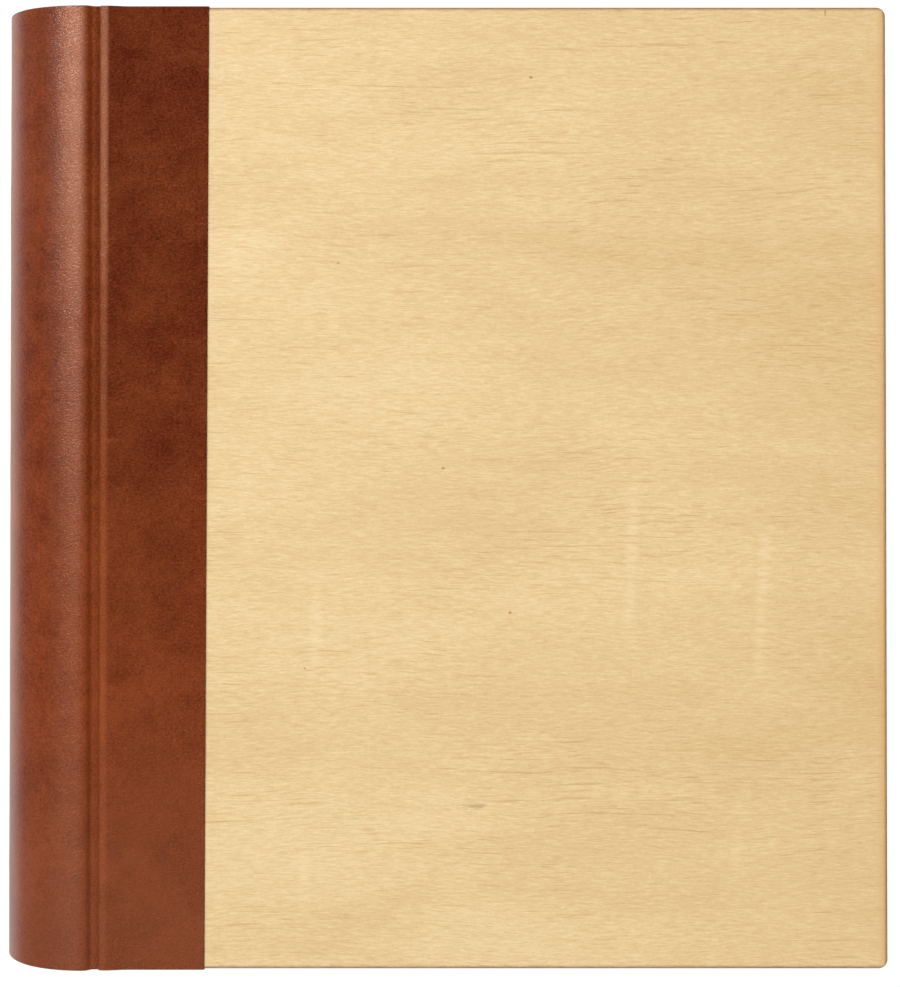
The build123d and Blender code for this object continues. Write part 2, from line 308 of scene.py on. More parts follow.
def leather_color(t, zones, blotch):
    """Mottled saddle brown, worn lighter on the crown and the ridge with a painted highlight there, a
    painted reflection on the limb, and one small scuff.
    """
    color = t.mix(leather_tone(t, zones, blotch), SADDLE_DARK, SADDLE_LIGHT)
    # The crown and the ridge are lighter from wear and from a painted highlight, stronger towards the
    # head.
    crown_wear_and_highlight = t.math("MULTIPLY", zones.crown, t.ramp(zones.headward, 0.0, 1.0, 0.15, 0.42))
    ridge_wear_and_highlight = t.math("MULTIPLY", zones.ridge, t.ramp(zones.headward, 0.6, 1.0, 0.45, 0.7))
    color = t.mix(t.math("MAXIMUM", crown_wear_and_highlight, ridge_wear_and_highlight), color, SADDLE_WEAR_AND_HIGHLIGHT)
    # Painted reflection: the outermost side of the roll is made lighter.
    color = t.mix(t.math("MULTIPLY", zones.limb, 0.4), color, SADDLE_LIMB_REFLECTION)
    # Painted highlight: the crown and the ridge are made pale near the head.
    crown_painted_highlight = t.math("MULTIPLY", zones.crown, 0.4)
    pale = t.math("MAXIMUM", crown_painted_highlight, t.math("MULTIPLY", ridge_wear_and_highlight, 0.85))
    pale = t.math("MULTIPLY", pale, t.ramp(zones.headward, 0.76, 0.97))
    color = t.mix(pale, color, SADDLE_PAINTED_HIGHLIGHT)
    color = t.mix(t.ramp(zones.y, -60.0, -155.0, 0.0, 0.4), color, SADDLE_FOOT)
    scuff_line = t.math("ADD", zones.y, t.math("MULTIPLY", blotch, 3.0))
    scuff = t.ramp(t.distance(scuff_line, 17.0), 0.8, 0.2)
    scuff = t.math("MULTIPLY", scuff, t.ramp(zones.x, panel_start.x + 9.0, panel_start.x))
    scuff = t.math("MULTIPLY", scuff, t.ramp(zones.x, flank_top.x, panel_start.x, 0.0, 0.25))
    return t.mix(scuff, color, SADDLE_SCUFF)


def leather_grain(t, zones):
    """Height of the slanting wrinkles and pebbles, and a mask of the valleys between pebbles, for
    painted shade.
    """
    turned = t.add("ShaderNodeVectorRotate", rotation_type="Z_AXIS")
    t.put(turned.inputs["Vector"], t.place)
    t.put(turned.inputs["Angle"], math.radians(-20.0))
    slant = turned.outputs["Vector"]
    wrinkle = t.noise(t.vector("MULTIPLY", slant, (0.5, 1.05, 0.6)), 1.0, 3.0, 0.5, 0.9)
    crease = t.noise(t.vector("MULTIPLY", slant, (0.9, 2.0, 1.1)), 1.0, 2.0, 0.5, 0.9)
    pebble = t.ramp(t.cell_edges(t.vector("MULTIPLY", slant, (0.8, 1.5, 0.9))), 0.0, 0.3)
    patch = t.ramp(t.noise(t.place, 0.05, 2.0), 0.35, 0.65, 0.5, 1.0)
    height = t.math("ADD", t.math("MULTIPLY", wrinkle, 1.1), t.math("MULTIPLY", crease, 0.55))
    height = t.math("ADD", t.math("MULTIPLY", height, patch), t.math("MULTIPLY", pebble, 0.3))
    height = t.math("MULTIPLY", height, t.ramp(zones.on_roll, 0.0, 1.0, 2.7, 0.75))
    height = t.math("MULTIPLY", height, t.ramp(zones.headward, 0.6, 0.9, 1.0, 1.35))
    return height, t.math("MULTIPLY", t.ramp(pebble, 0.9, 0.0), patch)


def leather_polish(t, zones):
    """Where the leather is polished by handling: the crown, the limb and the ridge."""
    crown = t.math("MULTIPLY", t.ramp(zones.x, hinge_x - 20.0, hinge_x - 9.0), zones.crown_end)
    crown = t.math("MULTIPLY", crown, t.ramp(zones.headward, 0.2, 0.9, 0.6, 1.0))
    limb = t.ramp(zones.x, spine_low.x + 10.5, spine_low.x + 1.0)
    ridge = t.math("MULTIPLY", zones.ridge, t.ramp(zones.headward, 0.45, 0.9, 0.25, 1.5))
    return t.math("MAXIMUM", t.math("MAXIMUM", crown, limb), ridge)


def leather_material():
    """Pull-up saddle leather: mottled reddish brown, fine slanting wrinkles, glossier on the spine."""
    t = Tree("saddle_leather")
    zones = leather_zones(t)
    blotch = t.noise(t.place, 0.13, 4.0, 0.65, 1.0)
    height, valley_shade = leather_grain(t, zones)
    # Painted shade darkens the valleys between the pebbles.
    color = t.mix(t.math("MULTIPLY", valley_shade, 0.25), leather_color(t, zones, blotch), SADDLE_VALLEY_SHADE)
    polish = leather_polish(t, zones)
    roughness = t.ramp(polish, 0.0, 1.0, 0.45, 0.37)
    specular = t.ramp(polish, 0.0, 1.0, 0.1, 0.62)
    specular = t.math("MULTIPLY", specular, t.ramp(zones.headward, 0.75, 0.95, 1.0, 1.25))
    normal = t.bump(height, 0.33, 0.8)
    return t.finish(color, roughness, normal, Specular_IOR_Level=specular, Specular_Tint=GLOSS_TINT)


def leather_edge_material():
    """Cut edge and flesh side of the leather: dark, fibrous."""
    t = Tree("leather_flesh")
    fibre = t.noise(t.vector("MULTIPLY", t.place, (2.0, 2.0, 6.0)), 1.0, 4.0, 0.7)
    color = t.mix(t.ramp(fibre, 0.3, 0.7), (0.035, 0.010, 0.005), (0.095, 0.030, 0.012))
    return t.finish(color, 0.85, t.bump(fibre, 0.08))


# Wood colours, linear.
WOOD_DARK = (0.595, 0.418, 0.203)
WOOD_LIGHT = (0.692, 0.529, 0.302)
WOOD_CHECK = (0.47, 0.265, 0.10)
WOOD_RUBBED = (0.85, 0.68, 0.44)
WOOD_SPECK = (0.13, 0.07, 0.03)
WOOD_RIM = (0.60, 0.33, 0.125)  # warm glow along the fore-edge
WOOD_SCORCH = (0.21, 0.125, 0.07)  # line along the cut edges


def wood_grain(t):
    """Noise patterns drawn out along the grain, from broad clouds to fine ripples and checks."""
    drift = t.noise(t.vector("MULTIPLY", t.place, (0.011, 0.012, 0.01)), 1.0, 2.0)
    shift = t.add("ShaderNodeCombineXYZ")
    t.put(shift.inputs["Y"], t.math("MULTIPLY", t.math("SUBTRACT", drift, 0.5), 10.0))
    grain_place = t.vector("ADD", t.place, shift.outputs["Vector"])

    def along(scale_x, scale_y, detail, roughness, distortion=0.0):
        place = t.vector("MULTIPLY", grain_place, (scale_x, scale_y, 0.3))
        return t.noise(place, 1.0, detail, roughness, distortion)

    ripple = along(0.24, 2.1, 3.0, 0.6, 0.15)
    tooth = along(0.9, 2.4, 2.0, 0.6)
    fine = t.math("ADD", t.math("MULTIPLY", ripple, 0.68), t.math("MULTIPLY", tooth, 0.32))
    return SimpleNamespace(
        cloud=along(0.009, 0.02, 3.0, 0.5, 0.5),
        band=along(0.02, 0.12, 4.0, 0.6),
        streak=along(0.05, 0.75, 4.0, 0.6),
        ripple=ripple,
        fine=t.ramp(fine, 0.3, 0.7, smooth=False),
        patch=along(0.014, 0.035, 2.0, 0.5),
        checks=[along(0.035, 1.2, 2.0, 0.45), along(0.10, 1.8, 2.0, 0.45)],
    )


def wood_color(t, grain, x):
    """Pale yellow wood in soft clouds and fine ripples, a little warmer towards the fore-edge."""
    tone = t.math("MULTIPLY", grain.cloud, 0.56)
    tone = t.math("ADD", tone, t.math("MULTIPLY", grain.band, 0.24))
    tone = t.math("ADD", tone, t.math("MULTIPLY", grain.streak, 0.2))
    color = t.mix(t.ramp(tone, 0.3, 0.7, smooth=False), WOOD_DARK, WOOD_LIGHT)
    shade = t.mix(grain.fine, (0.40, 0.385, 0.35), (0.60, 0.615, 0.65))
    color = t.mix(0.9, color, shade, "OVERLAY")
    warmer = t.ramp(x, leather_high.x, board_high.x, smooth=False)
    return t.mix(warmer, color, (1.0, 0.965, 0.90), "MULTIPLY")


def lathe_checks(t, grain):
    """Thin cracks along the grain, where a noise stands above a threshold that varies by patch."""
    threshold = t.ramp(grain.patch, 0.35, 0.65, 0.72, 0.605, smooth=False)
    marks = []
    for pattern in grain.checks:
        marks.append(t.ramp(t.math("SUBTRACT", pattern, threshold), 0.0, 0.08, 0.0, 0.45))
    return t.math("MAXIMUM", *marks)


def rubbed_line(t, grain, x, y, centre, top, foot, lean):
    """Mask of a faint line rubbed across the grain."""
    line = t.math("SUBTRACT", x, t.math("MULTIPLY", t.math("SUBTRACT", y, top), lean))
    inside = t.math("MULTIPLY", t.ramp(y, foot - 8, foot + 12), t.ramp(y, top + 8, top - 12))
    rubbed = t.math("MULTIPLY", t.ramp(t.distance(line, centre), 3.2, 0.0), inside)
    return t.math("MULTIPLY", rubbed, t.ramp(grain.streak, 0.3, 0.7, 0.05, 0.32))


def speck(t, grain, centre, half_width, half_height, darkness):
    """Mask of a pin knot or smudge with a ragged outline."""
    offset = t.vector("SUBTRACT", t.place, (*centre, board_high.z))
    scaled = t.vector("DIVIDE", offset, (half_width, half_height, 1.0))
    length = t.add("ShaderNodeVectorMath", operation="LENGTH")
    t.put(length.inputs[0], scaled)
    ragged = t.math("ADD", length.outputs["Value"], t.math("SUBTRACT", grain.fine, 0.5))
    return t.ramp(ragged, 1.3, 0.4, 0.0, darkness)


def wood_material():
    """Rotary-cut plywood face: short crosswise ripples, thin lathe checks, soft clouds, a few marks."""
    t = Tree("plywood_face")
    x, y = t.axis(t.place, "X"), t.axis(t.place, "Y")
    grain = wood_grain(t)
    check = lathe_checks(t, grain)
    color = t.mix(check, wood_color(t, grain, x), WOOD_CHECK)
    for mark in RUBBED:
        color = t.mix(rubbed_line(t, grain, x, y, *mark), color, WOOD_RUBBED)
    for mark in SPECKS:
        color = t.mix(speck(t, grain, *mark), color, WOOD_SPECK)
    ragged_x = t.math("ADD", x, t.math("MULTIPLY", t.math("SUBTRACT", grain.ripple, 0.5), 4.0))
    color = t.mix(t.ramp(ragged_x, board_high.x - 3.6, board_high.x, 0.0, 0.8), color, WOOD_RIM)
    side = t.math("SUBTRACT", board_high.x, x)
    end = t.math("SUBTRACT", board_half, t.math("ABSOLUTE", y))
    from_edge = t.math("ADD", t.math("MINIMUM", side, end), t.math("MULTIPLY", grain.fine, 0.3))
    color = t.mix(t.ramp(from_edge, 1.5, 0.5, 0.0, 0.65), color, WOOD_SCORCH)
    height = t.math("ADD", grain.fine, t.math("MULTIPLY", grain.streak, 0.8))
    height = t.math("SUBTRACT", height, t.math("MULTIPLY", check, 0.8))
    return t.finish(color, 0.62, t.bump(height, 0.06, 0.6), Specular_IOR_Level=0.3)


def wood_edge_material():
    """Laser-cut edge of the board: browned outer plies and a darker core."""
    t = Tree("plywood_edge")
    rise = t.distance(t.axis(t.place, "Z"), middle_z)
    board_rise = (board_low.z + board_high.z) / 2 - middle_z
    core = t.ramp(t.distance(rise, board_rise), 1.2, 1.05)
    grain = t.noise(t.vector("MULTIPLY", t.place, (0.35, 0.35, 5.0)), 1.0, 4.0, 0.65)
    pores = t.noise(t.vector("MULTIPLY", t.place, (4.0, 4.0, 1.2)), 1.0, 3.0, 0.6)
    outer_ply = t.mix(t.ramp(grain, 0.3, 0.7), (0.16, 0.075, 0.028), (0.34, 0.18, 0.07))
    core_ply = t.mix(t.ramp(pores, 0.3, 0.7), (0.10, 0.045, 0.018), (0.24, 0.12, 0.048))
    color = t.mix(core, outer_ply, core_ply)
    return t.finish(color, 0.7, t.bump(t.math("ADD", grain, pores), 0.08))


def paper_material(name, tint, on_cad=False):
    """Uncoated paper: faint fibres and a slight tooth."""
    t = Tree(name, on_cad)
    fibre = t.noise(t.vector("MULTIPLY", t.place, (1.4, 0.9, 1.0)), 1.0, 5.0, 0.65, 0.8)
    cloud = t.noise(t.place, 0.05, 3.0)
    tone = t.math("ADD", t.math("MULTIPLY", fibre, 0.6), t.math("MULTIPLY", cloud, 0.4))
    dark = tuple(channel * 0.93 for channel in tint)
    color = t.mix(t.ramp(tone, 0.3, 0.7), dark, tint)
    return t.finish(color, 0.9, t.bump(fibre, 0.05, 0.6), Specular_IOR_Level=0.25)


def cloth_material(name, tint, pitch, on_cad=True):
    """Plain weave with the threads pitch millimetres apart."""
    t = Tree(name, on_cad)
    turn = 2 * math.pi / pitch
    waves = []
    for axis_name in ("Y", "Z"):
        waves.append(t.math("SINE", t.math("MULTIPLY", t.axis(t.place, axis_name), turn)))
    weave = t.math("MULTIPLY", *waves)
    slub = t.noise(t.place, 1.2, 3.0)
    tone = t.math("ADD", t.math("MULTIPLY", weave, 0.25), slub)
    dark = tuple(channel * 0.6 for channel in tint)
    color = t.mix(t.ramp(tone, 0.2, 0.8), dark, tint)
    return t.finish(color, 0.9, t.bump(weave, 0.1))


def card_material():
    """Grey-brown spine card with flecks."""
    t = Tree("spine_card", on_cad=True)
    fleck = t.noise(t.place, 1.6, 4.0, 0.7)
    color = t.mix(t.ramp(fleck, 0.35, 0.65), (0.20, 0.155, 0.11), (0.36, 0.30, 0.225))
    return t.finish(color, 0.9, t.bump(fleck, 0.08))


def endband_material():
    """Silk wound in two colours, a few turns of each."""
    t = Tree("endband_silk")
    rise = t.math("SUBTRACT", t.axis(t.place, "Z"), middle_z)
    stripe_pitch = 2.4
    stripe = t.math("SINE", t.math("MULTIPLY", rise, 2 * math.pi / stripe_pitch))
    fibre = t.noise(t.place, 5.0, 3.0)
    cream = t.mix(fibre, (0.62, 0.52, 0.36), (0.80, 0.72, 0.56))
    brown = t.mix(fibre, (0.13, 0.030, 0.012), (0.24, 0.060, 0.022))
    color = t.mix(t.ramp(stripe, -0.15, 0.15), cream, brown)
    return t.finish(color, 0.45, t.bump(fibre, 0.05), Sheen_Weight=0.3)


LEATHER = leather_material()
FLESH = leather_edge_material()
WOOD = wood_material()
WOOD_EDGE = wood_edge_material()
PAPER = paper_material("guest_paper", (0.85, 0.80, 0.69))
ENDPAPER = paper_material("endpaper", (0.76, 0.69, 0.55))
ENDBAND = endband_material()


# ---- Mesh helpers ----
def make_piece(name, points, faces, materials, face_slots=None, sharp=35.0):
    """A mesh from points in millimetres, smooth but for edges sharper than the given degrees."""
    mesh = bpy.data.meshes.new(name)
    mesh.from_pydata([tuple(Vector(point) * MM) for point in points], [], faces)
    for material in materials:
        mesh.materials.append(material)
    if face_slots:
        mesh.polygons.foreach_set("material_index", face_slots)
    shape = bmesh.new()
    shape.from_mesh(mesh)
    bmesh.ops.recalc_face_normals(shape, faces=shape.faces)
    shape.to_mesh(mesh)
    shape.free()
    mesh.shade_smooth()
    mesh.set_sharp_from_angle(angle=math.radians(sharp))
    rest = mesh.attributes.new(REST, "FLOAT_VECTOR", "POINT")
    values = [value / MM for vertex in mesh.vertices for value in vertex.co]
    rest.data.foreach_set("vector", values)
    made = bpy.data.objects.new(name, mesh)
    bpy.context.scene.collection.objects.link(made)
    return made


def rear_z(z):
    """The same height for the rear of the book."""
    return 2 * middle_z - z


def mirrored(points):
    """The same points for the rear of the book."""
    return [(x, y, rear_z(z)) for x, y, z in points]


def loft(loops):
    """Quads between equal closed loops of points; returns points and faces."""
    count = len(loops[0])
    points = [point for loop in loops for point in loop]
    faces = []
    for row in range(len(loops) - 1):
        for step in range(count):
            after = (step + 1) % count
            faces.append(
                (
                    row * count + step,
                    row * count + after,
                    (row + 1) * count + after,
                    (row + 1) * count + step,
                )
            )
    return points, faces


def close_strip(faces, start, size):
    """Quads across a loop that goes out along one side of a sheet and comes back along the other."""
    half_loop = size // 2
    for step in range(half_loop - 1):
        faces.append(
            (start + step, start + step + 1, start + size - 2 - step, start + size - 1 - step)
        )


# ---- Leather: a sheet that runs over the face and is turned in at head and tail ----
FACE_STEPS = 150
ARC_STEPS = 5
TURN_STEPS = 3
leather_thickness = top_z - board_high.z
edge_thickness = leather_half - board_half
turn_in_thickness = 0.25
corner_radius = 0.8
calm_border = 4.0  # the unevenness fades out over this width at head and tail
edge_lean = 0.55  # how far the hand-cut edge leans towards the fore-edge at the head


def half_path(half, depth, turn_in):
    """(y, depth, inward y, inward depth, thickness) from the face's middle to the turn-in's edge."""
    radius = min(corner_radius, depth / 2)
    path = []
    for step in range(FACE_STEPS):
        path.append(((half - radius) * step / FACE_STEPS, 0.0, 0.0, 1.0, leather_thickness))
    for step in range(ARC_STEPS + 1):
        angle = math.pi / 2 * step / ARC_STEPS
        thickness = leather_thickness + (edge_thickness - leather_thickness) * step / ARC_STEPS
        side, rise = math.sin(angle), math.cos(angle)
        path.append((half - radius + radius * side, radius - radius * rise, -side, rise, thickness))
    for step in range(ARC_STEPS + 1):
        angle = math.pi / 2 * step / ARC_STEPS
        thickness = edge_thickness + (turn_in_thickness - edge_thickness) * step / ARC_STEPS
        side, rise = math.cos(angle), math.sin(angle)
        path.append(
            (half - radius + radius * side, depth - radius + radius * rise, -side, -rise, thickness)
        )
    for step in range(1, TURN_STEPS + 1):
        y = half - radius - (turn_in - radius) * step / TURN_STEPS
        path.append((y, depth, 0.0, -1.0, turn_in_thickness))
    return path


def leather_undulation(x, y, z):
    """How far the leather stands off its smooth shape, in millimetres."""
    place = Vector((x, y, z))
    elsewhere = Vector((7.0, 3.0, 1.0))
    slow = noise.noise(place * 0.045) * 0.10
    quick = noise.noise(place * 0.16 + elsewhere) * 0.045
    return slow + quick


def wrapped_leather(name, profile, rear):
    """Leather along a profile of (x, z, inward x, inward z, depth, half height, turn-in)."""
    outer_loops, inner_loops = [], []
    for along, z, in_x, in_z, depth, half, turn_in in profile:
        right = half_path(half, depth, turn_in)
        left = [
            (-y, d, -inward_y, inward_d, thickness)
            for y, d, inward_y, inward_d, thickness in reversed(right[1:])
        ]
        outer, inner = [], []
        edge_share = max(0.0, (along - panel_start.x) / (leather_high.x - panel_start.x))
        for y, d, inward_y, inward_d, thickness in left + right:
            x = along + edge_lean * edge_share * y / half
            on_face = max(0.0, 1.0 - d / corner_radius)
            on_face *= min(1.0, (half - abs(y)) / calm_border)
            d_outer = d - leather_undulation(x, y, z) * max(0.0, on_face)
            outer.append((x + in_x * d_outer, y, z + in_z * d_outer))
            d_inner = d + inward_d * thickness
            inner.append((x + in_x * d_inner, y + inward_y * thickness, z + in_z * d_inner))
        outer_loops.append(outer)
        inner_loops.append(inner)
    count = len(outer_loops[0])
    loops = [outer + list(reversed(inner)) for outer, inner in zip(outer_loops, inner_loops)]
    points, faces = loft(loops)
    slots = []
    size = 2 * count
    for row in range(len(loops) - 1):
        for step in range(size):
            slots.append(0 if step < count - 1 else 1)
    for row in (0, len(loops) - 1):
        close_strip(faces, row * size, size)
        slots += [1] * (count - 1)
    if rear:
        points = mirrored(points)
    return make_piece(name, points, faces, [LEATHER, FLESH], slots)


card_thickness = 1.5
spine_turn_in_thickness = 0.5
spine_depth = stiffener_low.x - spine_low.x + card_thickness + spine_turn_in_thickness
groove_leather_depth = 1.3  # the leather and its turn-in together, in the groove
spine_turn_in = 18.0
board_turn_in = board_half - block_half + 0.4


def groove_outline():
    """Outer surface over the roll's top into the groove, then from the seam there onto the board."""
    seam_x = hinge_x - 0.7
    seam_half_gap = 0.03
    down = Vector((0.66, -0.75))  # slope of the roll's side
    up = Vector((0.50, 0.87))  # slope of the board's side
    # Each curve as (start, its handle, the end's handle, end, points).
    curves = [
        (roll_end, roll_end + Vector((1.2, 0)), roll_turn - down * 0.8, roll_turn, 10),
        (roll_turn, roll_turn + down * 0.9, groove_bottom - Vector((1.6, 0)), groove_bottom, 10),
        (groove_bottom, groove_bottom + Vector((0.8, 0)), flank_top - up * 0.6, flank_top, 9),
        (flank_top, flank_top + up * 0.66, panel_start - Vector((0.8, 0)), panel_start, 14),
    ]
    outline = [roll_end]
    for start, handle_a, handle_b, end, steps in curves:
        outline += interpolate_bezier(start, handle_a, handle_b, end, steps)[1:]
    seam = next(index for index, point in enumerate(outline) if point.x > seam_x)
    along = (outline[seam + 1] - outline[seam - 1]).normalized() * seam_half_gap
    outline[seam : seam + 1] = [outline[seam] - along, outline[seam], outline[seam] + along]
    edge = leather_high.x
    panel_end = edge - 0.25
    panel_steps = 22
    for step in range(1, panel_steps + 1):
        x = panel_start.x + (panel_end - panel_start.x) * step / panel_steps
        outline.append(Vector((x, top_z)))
    outline.append(Vector((edge - 0.06, top_z - 0.06)))
    outline.append(Vector((edge, top_z - 0.2)))
    return outline[: seam + 2], outline[seam + 1 :]


def between(first, second, x, start, width):
    """From the first value to the second as x goes from start over a width, and level outside it."""
    share = min(1.0, max(0.0, (x - start) / width))
    return first + (second - first) * share


def half_height_at(x):
    """The leather's half height: fuller at the spine, pared down along the board."""
    return between(spine_half, leather_half, x, flank_top.x, 9.0)


def leather_depth_at(point):
    """From the outer surface to the turn-in's face: thin in the groove, round the board beyond it."""
    on_board = point.y - (board_low.z - turn_in_thickness)
    flat = between(spine_depth, groove_leather_depth, point.x, roll_x, 2.4)
    return between(flat, on_board, point.x, flank_top.x - 0.8, 0.9)


def turn_in_at(x):
    """How far the leather is turned in."""
    return between(spine_turn_in, board_turn_in, x, roll_x, 6.0)


def flat_profile(outline):
    """The profile that wrapped_leather takes, for a part of the outline over groove and board."""
    return [
        (p.x, p.y, 0.0, -1.0, leather_depth_at(p), half_height_at(p.x), turn_in_at(p.x)) for p in outline
    ]


groove_part, cover_part = groove_outline()


def spine_profile():
    """The profile of the spine's leather: front lip, roll and rear lip."""
    front = flat_profile(groove_part)
    roll = []
    steps = 72
    for step in range(1, steps):
        angle = math.pi / 2 + math.pi * step / steps
        away_x, away_z = math.cos(angle), math.sin(angle)
        roll.append(
            (
                roll_x + roll_radius * away_x,
                middle_z + roll_radius * away_z,
                -away_x,
                -away_z,
                spine_depth,
                spine_half,
                spine_turn_in,
            )
        )
    rear = [
        (x, rear_z(z), in_x, -in_z, depth, half, turn_in)
        for x, z, in_x, in_z, depth, half, turn_in in reversed(front)
    ]
    return list(reversed(front)) + roll + list(reversed(rear))


spine_cover = wrapped_leather("leather_spine", spine_profile(), rear=False)
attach(spine_cover, "text_block")
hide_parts("spine_leather")
for side_name, rear in (("front", False), ("rear", True)):
    strip = wrapped_leather(f"leather_{side_name}", flat_profile(cover_part), rear)
    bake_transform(strip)
    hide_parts(f"{side_name}_leather")


# ---- Boards: rounded fore-edge corners, softened arrises, three plies in the edge ----
fore_corner = 3.0
CORNER_STEPS = 10
spine_edge_gap = 0.6  # room for the leather beside the board's spine edge
ply = 1.1  # thickness of each outer ply
glue_groove = 0.05  # depth of the fine groove at each glue line
glue_half_width = 0.06
ARRIS = ((0.8, 0.0), (0.34, 0.03), (0.1, 0.12), (0.0, 0.32))  # softened edge: (inset, depth)


def board_outline(inset):
    """The board's outline, drawn in by an inset."""
    radius = fore_corner - inset
    right = board_high.x - inset
    top = board_half - inset
    left = board_low.x + spine_edge_gap + inset
    loop = [(left, -top), (left, top)]
    centre_x, centre_y = right - radius, top - radius
    for step in range(CORNER_STEPS + 1):
        angle = math.pi / 2 * (1 - step / CORNER_STEPS)
        loop.append((centre_x + radius * math.cos(angle), centre_y + radius * math.sin(angle)))
    for step in range(CORNER_STEPS + 1):
        angle = -math.pi / 2 * step / CORNER_STEPS
        loop.append((centre_x + radius * math.cos(angle), -centre_y + radius * math.sin(angle)))
    return loop


def board_piece(name, rear):
    """A board as a stack of outlines, with a fine groove at each glue line."""
    thickness = board_high.z - board_low.z
    levels = list(ARRIS)
    for glue_line in (ply, thickness - ply):
        levels.append((0.0, glue_line - glue_half_width))
        levels.append((glue_groove, glue_line))
        levels.append((0.0, glue_line + glue_half_width))
    levels += [(inset, thickness - depth) for inset, depth in reversed(ARRIS)]
    loops = [
        [(x, y, board_low.z + level) for x, y in board_outline(inset)] for inset, level in levels
    ]
    points, faces = loft(loops)
    count = len(loops[0])
    slots = []
    for row in range(len(loops) - 1):
        face_slot = 0 if row in (0, len(loops) - 2) else 1
        slots += [face_slot] * count
    faces.append(tuple(range(count)))
    faces.append(tuple(range(len(points) - count, len(points))))
    slots += [0, 0]
    if rear:
        points = mirrored(points)
    return make_piece(name, points, faces, [WOOD, WOOD_EDGE], slots, sharp=30.0)


for side_name, rear in (("front", False), ("rear", True)):
    board = board_piece(f"board_{side_name}", rear)
    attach(board, f"{side_name}_cover")
    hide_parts(f"{side_name}_board")


# ---- Paper ----
def sheet_piece(name, outline_top, thickness, half, material, rear=False, rows=40):
    """A sheet along a line of (x, z) points on its upper face, with a given thickness."""
    loops = []
    for x, z in outline_top:
        upper = []
        lower = []
        for row in range(rows + 1):
            y = -half + 2 * half * row / rows
            upper.append((x, y, z))
            lower.append((x, y, z - thickness))
        loops.append(upper + list(reversed(lower)))
    points, faces = loft(loops)
    size = len(loops[0])
    for row in (0, len(loops) - 1):
        close_strip(faces, row * size, size)
    if rear:
        points = mirrored(points)
    return make_piece(name, points, faces, [material])


def spread(start, end, steps):
    """Evenly spaced values from start to end."""
    return [start + (end - start) * step / steps for step in range(steps + 1)]


fold_low, fold_high = box_mm("front_endpaper_fold")
gutter_end = 14.0  # how far from the hinge line a turning leaf bends
pasted_room = 0.25  # thickness of the pastedown's CAD solid
pasted_sheet = 0.24


def pastedown_outline():
    """Upper face of the pasted endpaper: out of the fold, over the gauze, down onto the board."""
    line = [(fold_low.x + 0.3, fold_high.z - 0.35), (fold_low.x + 0.7, fold_high.z - 0.1)]
    over_gauze = pastedown_low.z + pasted_room
    on_board = board_low.z
    step_start, step_end = wing_high.x - 1.0, wing_high.x + 1.5
    for x in spread(fold_low.x + 1.4, wing_high.x - 1.5, 26):
        line.append((x, over_gauze))
    for x in spread(step_start, step_end, 5):
        share = (x - step_start) / (step_end - step_start)
        line.append((x, over_gauze + (on_board - over_gauze) * share * share * (3 - 2 * share)))
    for x in spread(wing_high.x + 3.0, pastedown_high.x, 40):
        line.append((x, on_board))
    return line


for side_name, rear in (("front", False), ("rear", True)):
    pasted = sheet_piece(
        f"pastedown_{side_name}", pastedown_outline(), pasted_sheet, block_half, ENDPAPER, rear
    )
    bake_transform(pasted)
    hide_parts(f"{side_name}_pastedown", f"{side_name}_endpaper_fold")

turning = [("front_flyleaf", False), ("rear_flyleaf", True)]
turning += [(name, False) for name in leaf_names]
for name, rear in turning:
    source = "front_flyleaf" if rear else name
    high = box_mm(source)[1]
    start_x = fold_x(high.z) + 0.3
    columns = spread(start_x, hinge_x + gutter_end + 2.0, 26)[:-1]
    columns += spread(hinge_x + gutter_end + 2.0, high.x, 34)
    line = [(x, high.z) for x in columns]
    material = ENDPAPER if "flyleaf" in name else PAPER
    page = sheet_piece(f"page_{name}", line, leaf_thickness, block_half, material, rear)
    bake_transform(page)
    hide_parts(name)
    if name == leaf_names[-1]:
        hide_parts("section_01_folds")


FOLIOS = 6  # folded sheets in a section
FOLD_STEPS = 6
paper_share = 0.84  # of the room for each leaf, that its paper takes up


def section_piece(name, seed):
    """A folded section: nested folios with separate leaves, a little uneven at the edges."""
    low, high = box_mm(name)
    pitch = (high.z - low.z) / (2 * FOLIOS)
    thickness = pitch * paper_share
    middle = (low.z + high.z) / 2
    fold_start = fold_x(middle) + (high.z - low.z) / 2 + 0.6
    chance = random.Random(seed)
    points, faces = [], []
    for folio in range(FOLIOS):
        reach = pitch * (folio + 0.5)
        ends = []
        for sign in (1, -1):
            ends.append(edge_x(middle + sign * reach) - 0.1 + chance.uniform(-0.14, 0.1))
        half = block_half - 0.1 + chance.uniform(-0.1, 0.1)
        paths = []
        for radius in (reach + thickness / 2, reach - thickness / 2):
            path = [(ends[0], middle + radius)]
            for step in range(FOLD_STEPS + 1):
                angle = math.pi / 2 + math.pi * step / FOLD_STEPS
                along, rise = math.cos(angle) * radius, math.sin(angle) * radius
                path.append((fold_start + along, middle + rise))
            path.append((ends[1], middle - radius))
            paths.append(path)
        loop = paths[0] + list(reversed(paths[1]))
        rows = (-half, half)
        loops = [[(x, y, z) for x, z in loop] for y in rows]
        base = len(points)
        made_points, made_faces = loft(loops)
        points += made_points
        faces += [tuple(base + index for index in face) for face in made_faces]
        for row in range(len(rows)):
            close_strip(faces, base + row * len(loop), len(loop))
    return make_piece(name + "_leaves", points, faces, [PAPER])


FIRST_SEED = 40
for seed, name in enumerate(section_names, FIRST_SEED):
    section = section_piece(name, seed)
    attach(section, "text_block")
    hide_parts(name)


